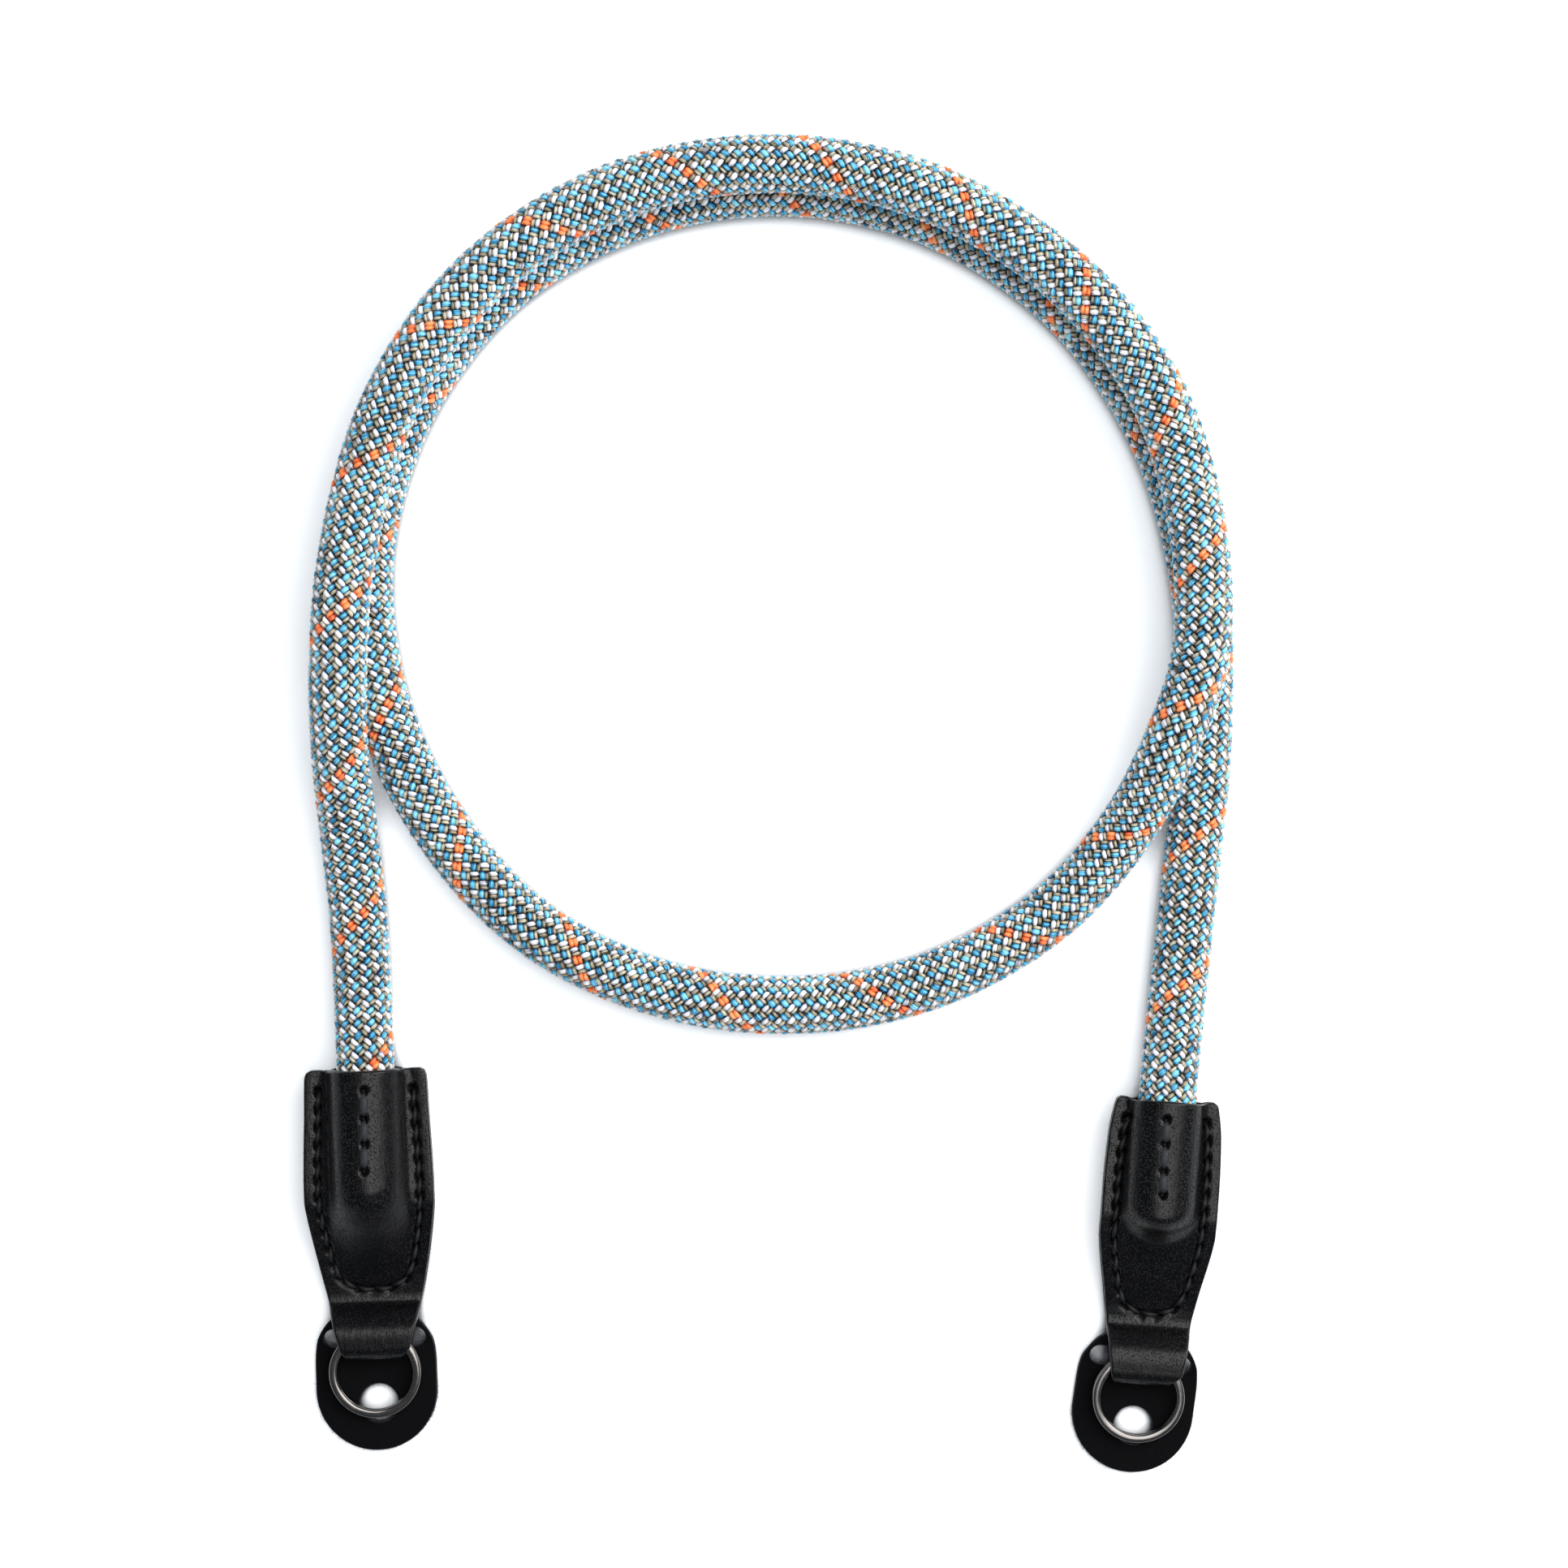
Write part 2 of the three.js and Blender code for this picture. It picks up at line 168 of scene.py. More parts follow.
class Look:
    """A material or world made of nodes. An input given as a socket is linked, any other is set."""

    def __init__(self, name, kind="materials"):
        self.block = getattr(bpy.data, kind).new(name)
        self.block.use_nodes = True
        self.tree = self.block.node_tree

    def fill(self, node, inputs):
        for name, value in inputs.items():
            if isinstance(value, bpy.types.NodeSocket):
                self.tree.links.new(value, node.inputs[name])
            else:
                node.inputs[name].default_value = value

    def node(self, kind, inputs, output=0, **settings):
        """An output of a new node, its first unless another is named."""
        node = self.tree.nodes.new(f"ShaderNode{kind}")
        for name, value in settings.items():
            setattr(node, name, value)
        self.fill(node, inputs)
        return node.outputs[output]

    def place(self):
        return self.node("TexCoord", {}, "Object")

    def stretch(self, vector, scale, turn=0):
        return self.node("Mapping", {"Vector": vector, "Scale": scale, "Rotation": (0, 0, turn)})

    def noise(self, scale, vector=None, detail=2):
        inputs = {"Scale": scale, "Detail": detail}
        if vector:
            inputs["Vector"] = vector
        return self.node("TexNoise", inputs)

    def ramp(self, share, first, last, end=1, between=()):
        """Colours from first to last, and between them rows of place and colour."""
        node = self.tree.nodes.new("ShaderNodeValToRGB")
        stops = node.color_ramp.elements
        stops[0].color = first
        stops[1].position = end
        stops[1].color = last
        for place, colour in between:
            stops.new(place).color = colour
        self.tree.links.new(share, node.inputs["Fac"])
        return node.outputs["Color"]

    def bump(self, height, strength, distance):
        return self.node("Bump", {"Height": height, "Strength": strength, "Distance": distance})

    def spread(self, share, low, high):
        return self.node("MapRange", {"Value": share, "To Min": low, "To Max": high})

    def done(self, inputs, last="Principled BSDF"):
        self.fill(self.tree.nodes[last], inputs)
        return self.block


def linear(red, green, blue):
    """A colour given as sRGB from 0 to 255."""
    parts = []
    for part in (red, green, blue):
        share = part / 255
        parts.append(share / 12.92 if share <= 0.04045 else ((share + 0.055) / 1.055) ** 2.4)
    return (*parts, 1)


def yarn_material(name, light, dark, deep):
    """Twisted filaments: streaks along the yarn, and a tone of its own for each float. Painted shade: the
    shade attribute also darkens each float where it dives and low on its sides, and the ramp turns this
    into lit, half-shaded and deep-shaded colours.
    """
    look = Look(name)
    uv = look.node("UVMap", {}, "UV", uv_map="OFBake")
    filaments = look.noise(1, look.stretch(uv, (110, 620, 1), 0.25))
    shade = look.node("Attribute", {}, "Fac", attribute_name="shade")
    tone = look.node("Math", {0: filaments, 1: shade}, operation="ADD")
    return look.done({
        "Base Color": look.ramp(tone, deep, light, 0.52, [(0.22, dark)]),
        "Normal": look.bump(filaments, 0.5, 0.00012),
        "Roughness": 0.45,
        "Sheen Weight": 0.1,
        "Sheen Roughness": 0.4,
    })


def core_material():
    """Painted shade: a near-black core that stands for the shade in the gaps between the floats."""
    look = Look("rope_core")
    colour = look.ramp(look.noise(900), linear(6, 5, 4), linear(20, 18, 14))
    return look.done({"Base Color": colour, "Roughness": 0.9})


# Painted light and shade on the floor: a slight glow that lifts its shadows, and a painted dark, with the
# glow put out, where ambient occlusion finds narrow places under the object
FLOOR_GLOW = 0.33
FLOOR_PAINTED_SHADE = (0.05, 0.055, 0.065, 1)
FLOOR_PALE = (0.93, 0.935, 0.95, 1)
FLOOR_PALEST = (0.95, 0.95, 0.96, 1)
NARROW = 0.006
NARROW_RAYS = 12
NARROW_FROM = 0.43
NARROW_TO = 0.55


def floor_material():
    """Pale, with a slight bluish painted glow of its own that lifts its shadows, and painted shade in
    narrow places under the object, such as slots: there the colour goes dark and the glow goes out.
    """
    look = Look("floor")
    pale = look.ramp(look.noise(3), FLOOR_PALE, FLOOR_PALEST)
    reached = look.node("AmbientOcclusion", {"Distance": NARROW}, "AO", samples=NARROW_RAYS)
    share = look.node("MapRange", {"Value": reached, "From Min": NARROW_FROM, "From Max": NARROW_TO})
    # Painted shade: narrow places take the dark colour and lose the glow
    colours = {"A": FLOOR_PAINTED_SHADE, "Factor": share, "B": pale}
    return look.done({
        "Base Color": look.node("Mix", colours, "Result", data_type="RGBA"),
        "Roughness": 0.9,
        "Specular IOR Level": 0.1,
        "Emission Color": (0.9, 0.96, 1.0, 1),
        "Emission Strength": look.node("Math", {0: share, 1: FLOOR_GLOW}, operation="MULTIPLY"),
    })


# Rope


class Route:
    """The centripetal Catmull-Rom curve through the route's points, read by its arc length."""

    def __init__(self, points, spacing=0.00025, steps=60):
        points = np.array(points)
        first = 2 * points[0] - points[1]
        last = 2 * points[-1] - points[-2]
        chain = np.vstack([first, points, last])
        line = [self.piece(*chain[i:i + 4], steps) for i in range(len(points) - 1)]
        line = np.vstack([*line, points[-1:]])
        gone = np.concatenate([[0], np.cumsum(np.linalg.norm(np.diff(line, axis=0), axis=1))])
        self.length = gone[-1]
        count = int(self.length / spacing) + 1
        self.along = np.linspace(0, self.length, count)
        self.places = np.stack([np.interp(self.along, gone, line[:, i]) for i in range(3)], axis=1)
        self.ahead = np.gradient(self.places, self.along, axis=0)
        self.ahead = self.rounded(self.ahead)
        self.ahead /= np.linalg.norm(self.ahead, axis=1, keepdims=True)
        up = np.array([0, 0, 1]) - self.ahead[:, 2:3] * self.ahead
        self.up = up / np.linalg.norm(up, axis=1, keepdims=True)
        self.side = np.cross(self.ahead, self.up)
        roll = np.interp(self.along, *np.array(ROPE_ROLL).T)
        self.roll = np.radians(self.rounded(roll[:, None], ROLL_SMOOTHING)[:, 0])

    @staticmethod
    def piece(p0, p1, p2, p3, steps):
        dt0 = np.linalg.norm(p1 - p0) ** 0.5
        dt1 = np.linalg.norm(p2 - p1) ** 0.5
        dt2 = np.linalg.norm(p3 - p2) ** 0.5
        t1 = ((p1 - p0) / dt0 - (p2 - p0) / (dt0 + dt1) + (p2 - p1) / dt1) * dt1
        t2 = ((p2 - p1) / dt1 - (p3 - p1) / (dt1 + dt2) + (p3 - p2) / dt2) * dt1
        t = np.arange(steps)[:, None] / steps
        cubic = 2 * p1 - 2 * p2 + t1 + t2
        square = -3 * p1 + 3 * p2 - 2 * t1 - t2
        return p1 + t1 * t + square * t ** 2 + cubic * t ** 3

    @staticmethod
    def rounded(rows, width=9):
        """A running mean that keeps the braid even where the curve's pieces meet."""
        padded = np.pad(rows, ((width // 2, width // 2), (0, 0)), mode="edge")
        kernel = np.ones(width) / width
        return np.stack([np.convolve(column, kernel, mode="valid") for column in padded.T], axis=1)

    def at(self, along, angle, radius):
        """Points at a distance along the route, an angle from the top and a radius."""
        def read(rows):
            return np.stack([np.interp(along, self.along, rows[:, i]) for i in range(3)], axis=-1)
        angle = angle + np.interp(along, self.along, self.roll)
        out = read(self.up) * np.cos(angle)[..., None] + read(self.side) * np.sin(angle)[..., None]
        return read(self.places) + out * radius[..., None]


route = Route(ROPE_ROUTE)


def rope_core():
    along = np.linspace(0, route.length, CORE_STEPS + 1)
    angle = np.linspace(0, 2 * math.pi, CORE_SIDES, endpoint=False)
    grid_along, grid_angle = np.meshgrid(along, angle, indexing="ij")
    radius = np.full(grid_along.shape, CORE_RADIUS)
    points = route.at(grid_along, grid_angle, radius).reshape(-1, 3)
    faces = wall_faces(CORE_STEPS + 1, CORE_SIDES)
    faces.append(tuple(range(CORE_SIDES - 1, -1, -1)))
    faces.append(tuple(CORE_STEPS * CORE_SIDES + side for side in range(CORE_SIDES)))
    core = new_mesh("rope_core", points.tolist(), faces, core_material())
    path = route.at(along, 0 * along, 0 * along)
    return core, path.tolist()


# One float is a spindle: rings of five points along it and a tip at each end. Shares of half the
# distance between two crossings, of the yarn's half width and of its half height.
FLOAT_STATIONS = [(-0.6, 0.82), (-0.22, 1.0), (0.22, 1.0), (0.6, 0.82)]
FLOAT_TIP = 0.92
# Painted shade: how much a float's colour is darkened where it dives and low on its sides
FLOAT_DIVE_SHADE = 0.76
FLOAT_SIDE_SHADE = 0.4
FLOAT_CORNERS = [math.radians(degrees) for degrees in (90, 22, -48, -132, 158)]
UV_INSET = 0.08
# How much the floats differ from each other
SIZE_SPREAD = 0.05
OFFSET_SPREAD = 0.00002
LIFT_SPREAD = 0.00003
LIFT_LIMIT = 0.00004
SHIFT_SPREAD = 0.03
SHADE_SPREAD = 0.08


def float_template():
    """Station, half width and half height of each point, the faces, and each face corner's UV."""
    sides = len(FLOAT_CORNERS)
    rings = len(FLOAT_STATIONS)
    first_tip = rings * sides
    spots = [(place, size * math.cos(corner), size * math.sin(corner))
             for place, size in FLOAT_STATIONS for corner in FLOAT_CORNERS]
    spots += [(-FLOAT_TIP, 0, 0), (FLOAT_TIP, 0, 0)]
    faces = []
    corners = []

    def uv(ring, side):
        return ((ring + 1) / (rings + 1), side / sides)

    for ring in range(rings - 1):
        for side in range(sides):
            after = (side + 1) % sides
            here = ring * sides
            faces.append((here + side, here + sides + side, here + sides + after, here + after))
            corners.append([uv(ring, side), uv(ring + 1, side), uv(ring + 1, side + 1), uv(ring, side + 1)])
    for side in range(sides):
        after = (side + 1) % sides
        last = (rings - 1) * sides
        faces.append((first_tip, side, after))
        corners.append([uv(-1, side + 0.5), uv(0, side), uv(0, side + 1)])
        faces.append((first_tip + 1, last + after, last + side))
        corners.append([uv(rings, side + 0.5), uv(rings - 1, side + 1), uv(rings - 1, side)])
    return *np.array(spots).T, faces, corners


def yarn_piece(name, floats, material):
    """floats is rows of distance, angle, hand (1 or -1), and the yarn's offset, drop and width."""
    station, across, rise, faces, corners = float_template()
    floats = np.array(floats)
    count = len(floats)
    half_pitch = LEAD / (2 * CARRIERS)
    half_turn = math.pi / CARRIERS
    tilt = math.atan(2 * math.pi * SURFACE_RADIUS / LEAD)
    along, angle, hand, offset, drop, width = (floats[:, i:i + 1] for i in range(6))
    size = 1 + SIZE_SPREAD * random.standard_normal((count, 1))
    offset = offset + OFFSET_SPREAD * random.standard_normal((count, 1))
    lift = np.clip(LIFT_SPREAD * random.standard_normal((count, 1)), -LIFT_LIMIT, LIFT_LIMIT)
    shift = SHIFT_SPREAD * random.standard_normal((count, 1))

    place = station[None, :] + shift
    wide = offset + across[None, :] * size * width * YARN_WIDTH / 2
    high = rise[None, :] * size * YARN_HEIGHT / 2
    point_along = along + place * half_pitch + wide * math.sin(tilt)
    point_angle = angle + hand * (place * half_turn - wide * math.cos(tilt) / SURFACE_RADIUS)
    radius = BRAID_RADIUS + WAVE * np.cos(math.pi * place) + high + lift - drop
    points = route.at(point_along, point_angle, radius).reshape(-1, 3)

    bases = range(0, count * len(station), len(station))
    all_faces = [[base + point for point in face] for base in bases for face in faces]
    piece = new_mesh(name, points.tolist(), all_faces, material)
    mesh = piece.data

    # Each float has its own square of the UV map, so that no two overlap
    side = math.ceil(math.sqrt(count))
    template = np.array([spot for face in corners for spot in face])
    template = UV_INSET + template * (1 - 2 * UV_INSET)
    cells = np.stack([np.arange(count) % side, np.arange(count) // side], axis=1)
    uv = (cells[:, None, :] + template[None, :, :]) / side
    layer = mesh.uv_layers.new(name="OFBake")
    layer.uv.foreach_set("vector", uv.astype(np.float32).ravel())

    # Painted shade: a float is painted darker where it dives and low on its sides, on top of its own random
    # tone
    shade = SHADE_SPREAD * random.standard_normal((count, 1))
    depth = FLOAT_DIVE_SHADE * (1 - np.cos(math.pi * station)) / 2 + FLOAT_SIDE_SHADE * (1 - rise) / 2
    attribute = mesh.attributes.new("shade", "FLOAT", "POINT")
    attribute.data.foreach_set("value", (shade - depth[None, :]).astype(np.float32).ravel())
    if floats[0, 2] < 0:
        mesh.flip_normals()
    return piece


def braid_floats():
    """The floats by yarn. Right-handed carriers top the even crossings, left-handed the odd ones."""
    pitch = LEAD / CARRIERS
    turn = 2 * math.pi / CARRIERS
    names = ("yarn_blue", "yarn_tan_right", "yarn_white", "yarn_tan_left", "yarn_orange")
    kinds = {name: [] for name in names}
    rows = int(ROPE_LENGTH / pitch)
    for row in range(1, rows):
        for step in range(CARRIERS):
            carrier = (step - row) % CARRIERS
            on_top = (row * pitch, step * turn, 1)
            if carrier == ORANGE_CARRIER:
                kinds["yarn_orange"] += [(*on_top, *yarn) for yarn in ORANGE_YARNS]
            else:
                kinds["yarn_blue"].append((*on_top, *BLUE_YARN))
                kinds["yarn_tan_right"].append((*on_top, *TAN_YARN))
            between = ((row + 0.5) * pitch, (step + 0.5) * turn, -1)
            kinds["yarn_white"].append((*between, *WHITE_YARN))
            kinds["yarn_tan_left"].append((*between, *TAN_YARN))
    return kinds


# Each yarn's painted colours: lit, in painted half shade and in painted deep shade
YARN_COLOURS = {
    "blue": ((142, 226, 252), (0, 132, 184), (0, 24, 44)),
    "tan": ((208, 199, 174), (120, 110, 88), (22, 18, 12)),
    "white": ((250, 250, 252), (208, 210, 222), (64, 64, 78)),
    "orange": ((255, 168, 104), (252, 110, 48), (130, 28, 8)),
}


def rope():
    looks = {}
    for name, colours in YARN_COLOURS.items():
        looks[name] = yarn_material(f"yarn_{name}", *(linear(*colour) for colour in colours))
    core, path = rope_core()
    yarns = [yarn_piece(name, floats, looks[name.split("_")[1]])
             for name, floats in braid_floats().items()]
    for piece in (core, *yarns):
        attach(piece, "root")
    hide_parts("rope")


# Leather tabs, in millimetres. The sizes are those of the solids.
CLEARANCE = 0.3
STRIP = 1.3
LAYER_GAP = 0.2
FLAP_THICKNESS = 1.4
POCKET_RADIUS = ROPE_DIAMETER / MM / 2 + CLEARANCE + STRIP
POCKET_FILLET = 1.5
LEAST_WING = 1
LEAST_BULGE = 0.02
SEAM_MARGIN = 0.8
FOLD_END_WIDTH = 12.7
WING_HALF = STRIP + LAYER_GAP / 2
BULGE_HEIGHT = POCKET_RADIUS - WING_HALF

RING_OUTER = 16.2
RING_WIRE_WIDTH = 1.4
RING_WIRE_HEIGHT = 0.9
RING_COIL_GAP = 0.1
RING_WIRE_CORNER = 0.34
RING_TURN_STEPS = 110
RING_CLIMB = math.radians(40)
RING_ENDS_GAP = 0.04
RING_OPENS = math.radians(111)
RING_HEIGHT = 2 * RING_WIRE_HEIGHT + RING_COIL_GAP
RING_MEAN = (RING_OUTER - RING_WIRE_WIDTH) / 2
RING_INNER = RING_OUTER / 2 - RING_WIRE_WIDTH

FLAP_WIDTH = 21.4
FLAP_TOP_WIDTH = 16.4
FLAP_CORNER_DROP = 2
FLAP_SIDE_BAR = 1.1
FLAP_TOP = 43.9
FLAP_SHOULDER = 53
FLAP_CENTRE = 57.2
FLAP_HOLE = {"diameter": 6.8, "across": 0.4, "along": 59.5}
SLOT_TOP = 46.1
SLOT_WIDTH = 3.6
SLOT_LENGTH = 18
SLOT_ROOM = 0.5
BAR_ROOM = 1.9
BAR_BOTTOM = STRIP + CLEARANCE

FOLD_BOTTOM = FLAP_THICKNESS + CLEARANCE
FOLD_RING_BOTTOM = FOLD_BOTTOM + STRIP + CLEARANCE
FOLD_TOP = FOLD_RING_BOTTOM + RING_HEIGHT + CLEARANCE + STRIP
FOLD_RADIUS = (FOLD_TOP - FOLD_BOTTOM) / 2
FOLD_MIDDLE = (FOLD_TOP + FOLD_BOTTOM) / 2

# Seam: stitches along the edges and round the rope's end, in a shallow groove
SEAM_INSET = 2.5
SEAM_BEND = 6.5
SEAM_PITCH = 3.05
SEAM_START = 3.6
GROOVE_DEPTH = 0.18
GROOVE_WIDTH = 0.7
SLIT_DEPTH = 1.1
SLIT_LENGTH = 0.8
SLIT_WIDTH = 0.52
TACK_DEPTH = 1.3
TACK_WIDTH = 0.62
EDGE_ROUND = 0.4
INNER_ROUND = 0.24
NECK_SOFTNESS = 2
U_REACH = 2.6
LOWER_STEP = 0.8
FOLD_STEPS = range(-80, 91, 10)
FOLD_NARROW = 0.66
NECK_STEP = 0.45
UPPER_STEP = 0.34

# Sections are shares: along the pocket, of the width, of the bulge and of the lift off the ground
TABS = [
    {
        "side": "left",
        "mouth": (-69.5, 35.3),
        "turn": math.radians(1.8),
        "length": 51.4,
        "pocket": 40,
        "width": 22.8,
        "ring": {"across": -0.3, "along": 53.8},
        "flap": {"across": -0.35, "along": 0, "turn": 0},
        "seam_end": 39.3,
        "tacks": [(0.3, 3.4), (0.15, 8.3), (0.15, 12.7), (-0.1, 17.4)],
        "sections": [
            (0, 0.84, 1, 1),
            (0.012, 0.91, 1, 1),
            (0.04, 0.94, 1, 1),
            (0.2, 0.96, 1, 1),
            (0.4, 0.99, 1, 1),
            (0.52, 1, 1, 1),
            (0.58, 1, 0.94, 0.97),
            (0.65, 0.975, 0.8, 0.84),
            (0.75, 0.92, 0.52, 0.62),
            (0.85, 0.855, 0.26, 0.43),
            (0.95, 0.785, 0.07, 0.27),
            (1, 0.745, 0, 0.215),
        ],
    },
    {
        "side": "right",
        "mouth": (71.3, 30),
        "turn": math.radians(-4.2),
        "length": 50.7,
        "pocket": 39,
        "width": 20.4,
        "ring": {"across": -0.9, "along": 53.1},
        "flap": {"across": -0.75, "along": -1.1, "turn": math.radians(-4)},
        "seam_end": 38.5,
        "tacks": [(-0.5, 3.2), (-0.45, 7.5), (-0.4, 12.2), (-0.2, 16.3)],
        "sections": [
            (0, 0.8, 1, 1),
            (0.013, 0.87, 1, 1),
            (0.04, 0.9, 1, 1),
            (0.17, 0.97, 1, 1),
            (0.4, 1, 1, 1),
            (0.52, 1, 1, 1),
            (0.57, 1, 0.82, 0.95),
            (0.61, 1, 0.45, 0.89),
            (0.66, 0.98, 0.16, 0.81),
            (0.74, 0.93, 0.06, 0.67),
            (0.86, 0.84, 0.03, 0.44),
            (0.95, 0.78, 0.01, 0.27),
            (1, 0.745, 0, 0.215),
        ],
    },
]


def monotone(places, values):
    """A smooth curve through the values that doesn't swing past them."""
    places = np.array(places, float)
    values = np.array(values, float)
    gaps = np.diff(places)
    rates = np.diff(values) / gaps
    slopes = np.zeros(len(places))
    same = rates[:-1] * rates[1:] > 0
    slopes[1:-1][same] = 2 * (rates[:-1] * rates[1:])[same] / (rates[:-1] + rates[1:])[same]
    slopes[0] = rates[0]
    slopes[-1] = rates[-1]

    def read(place):
        place = np.clip(place, places[0], places[-1])
        i = np.clip(np.searchsorted(places, place) - 1, 0, len(gaps) - 1)
        t = (place - places[i]) / gaps[i]
        return (
            (2 * t ** 3 - 3 * t ** 2 + 1) * values[i]
            + (t ** 3 - 2 * t ** 2 + t) * gaps[i] * slopes[i]
            + (3 * t ** 2 - 2 * t ** 3) * values[i + 1]
            + (t ** 3 - t ** 2) * gaps[i] * slopes[i + 1]
        )

    return read


def bulge_off(across, half_width, height):
    """How far one leather layer stands off its wing: an arc that meets the wing in a fillet."""
    low = np.maximum(height, LEAST_BULGE)
    full = POCKET_RADIUS + POCKET_FILLET
    centre_drop = POCKET_FILLET - (BULGE_HEIGHT - POCKET_RADIUS)
    foot = min(math.sqrt(full ** 2 - centre_drop ** 2), half_width - LEAST_WING)
    radius = (foot ** 2 + low ** 2 - 2 * low * POCKET_FILLET) / (2 * low)
    tangent = np.arctan2(foot, POCKET_FILLET - low + radius)
    a = np.abs(across)
    dome = low - radius + np.sqrt(np.maximum(radius ** 2 - a ** 2, 0))
    near = np.clip(foot - a, 0, POCKET_FILLET)
    fillet = POCKET_FILLET - np.sqrt(POCKET_FILLET ** 2 - near ** 2)
    return np.where(a < radius * np.sin(tangent), dome, np.where(a < foot, fillet, 0))


# Columns across half the strip: close together at the tacks and at the seam, and round the edge
TACK_COLUMNS = 4
TACK_REACH = 1.2
PLAIN_COLUMNS = 9
SEAM_COLUMNS = 13
SEAM_REACH = 4.2
EDGE_COLUMNS = (0.16, 0.3, 0.4)


def columns(half_width):
    inner = half_width - EDGE_ROUND
    seam_from = max(half_width - SEAM_REACH, TACK_REACH + 0.4)
    half = np.concatenate([
        np.linspace(0, TACK_REACH, TACK_COLUMNS, endpoint=False),
        np.linspace(TACK_REACH, seam_from, PLAIN_COLUMNS, endpoint=False),
        np.linspace(seam_from, inner, SEAM_COLUMNS),
        inner + np.array(EDGE_COLUMNS),
    ])
    return np.concatenate([-half[:0:-1], half])


class Strip:
    """The folded strip of one tab: rows of points on its outer face, from the lower mouth edge round
    the fold to the upper mouth edge, in the tab's own frame with the mouth at 0 and the fold at -y."""

    def __init__(self, tab):
        self.tab = tab
        table = np.array(tab["sections"], float)
        pocket = tab["pocket"]
        self.width_at = monotone(table[:, 0] * pocket, table[:, 1] * tab["width"] / 2)
        self.bulge_at = monotone(table[:, 0] * pocket, table[:, 2])
        self.lift_at = monotone(table[:, 0] * pocket, table[:, 3])
        self.fold_centre = tab["length"] - FOLD_RADIUS
        self.ring_tilt = math.atan(
            (FOLD_RING_BOTTOM - FOLD_BOTTOM) / (tab["ring"]["along"] + RING_MEAN - self.fold_centre)
        )
        self.made = []
        self.lower_rows()
        self.fold_rows()
        self.upper_rows()
        self.rows, self.across, self.places, self.sides = map(np.array, zip(*self.made))
        self.normals = self.square_to(self.rows)

    def add(self, side, along, half_width, height_at, shift=0):
        across = columns(half_width)
        height = height_at(across)
        row = np.stack([across + shift, np.full_like(across, -along), height], axis=1)
        self.made.append((row, across, along, side))

    def neck_half(self, along):
        share = (along - self.tab["pocket"]) / (self.fold_centre - self.tab["pocket"])
        seam_half = float(self.width_at(self.tab["pocket"]))
        return seam_half + share * (FOLD_END_WIDTH / 2 - seam_half)

    def pocket_row(self, side, along):
        half_width = float(self.width_at(along))
        middle = max(float(self.lift_at(along)) * POCKET_RADIUS, WING_HALF)
        bulge = float(self.bulge_at(along))
        if side < 0:
            drop = bulge * (middle - WING_HALF)
            self.add(side, along, half_width,
                     lambda across: middle - WING_HALF - bulge_off(across, half_width, drop))
        else:

            def height_at(across):
                place = along + U_REACH * (across / POCKET_RADIUS) ** 2
                rise = self.bulge_at(place) * BULGE_HEIGHT
                return middle + WING_HALF + bulge_off(across, half_width, rise)

            self.add(side, along, half_width, height_at)

    def lower_rows(self):
        for along in [0, 0.1, 0.25, *np.arange(0.5, self.tab["pocket"] + 0.01, LOWER_STEP)]:
            self.pocket_row(-1, along)
        start = SLOT_TOP + self.tab["flap"]["along"] + SLOT_ROOM
        for along in np.arange(self.tab["pocket"] + 0.6, start, LOWER_STEP):
            self.add(-1, along, self.neck_half(along), lambda across: 0 * across)
        for share in np.linspace(0, 1, 12):
            along = start + share * (self.fold_centre - start)
            rise = FOLD_BOTTOM * smooth_step(share)
            self.add(-1, along, self.neck_half(along), lambda across: 0 * across + rise)

    def fold_rows(self):
        tab = self.tab
        inner_fold = self.fold_centre + FOLD_NARROW * (FOLD_RADIUS - STRIP)
        fold_half = math.sqrt(RING_INNER ** 2 - (tab["ring"]["along"] - inner_fold) ** 2) - CLEARANCE
        for degrees in FOLD_STEPS:
            angle = math.radians(degrees)
            spread = abs(math.sin(angle)) ** 3
            half_width = fold_half + spread * (FOLD_END_WIDTH / 2 - fold_half)
            height = FOLD_MIDDLE + FOLD_RADIUS * math.sin(angle)
            along = self.fold_centre + FOLD_RADIUS * math.cos(angle)
            self.add(0, along, half_width, lambda across: 0 * across + height,
                     tab["ring"]["across"] * (1 - spread))

    def upper_rows(self):
        tab = self.tab
        seam_top = 2 * STRIP + LAYER_GAP
        slope = math.tan(self.ring_tilt)
        hump_along = tab["ring"]["along"] - RING_MEAN
        hump_top = FOLD_TOP + slope * (self.fold_centre - hump_along)
        rise_end = FLAP_TOP + tab["flap"]["along"] + BAR_ROOM
        rise_start = tab["pocket"] + SEAM_MARGIN

        def height_at(along):
            if along > hump_along:
                return FOLD_TOP + slope * (self.fold_centre - along)
            share = min(max((along - rise_start) / (rise_end - rise_start), 0), 1)
            return seam_top + (hump_top - seam_top) * smooth_step(share)

        for along in np.arange(self.fold_centre - 0.5, rise_start, -NECK_STEP):
            height = np.mean([height_at(along + NECK_SOFTNESS * part) for part in np.linspace(-1, 1, 9)])
            joined = smooth_step(min((along - rise_start) / NECK_SOFTNESS, 1))
            height = seam_top + joined * (height - seam_top)
            self.add(1, along, self.neck_half(along), lambda across: 0 * across + height)
        for along in [*np.arange(tab["pocket"], 0.5, -UPPER_STEP), 0.4, 0.25, 0.1, 0]:
            self.pocket_row(1, along)

    @staticmethod
    def square_to(rows):
        along = np.gradient(rows, axis=0)
        across = np.gradient(rows, axis=1)
        out = np.cross(across, along)
        return out / np.linalg.norm(out, axis=2, keepdims=True)

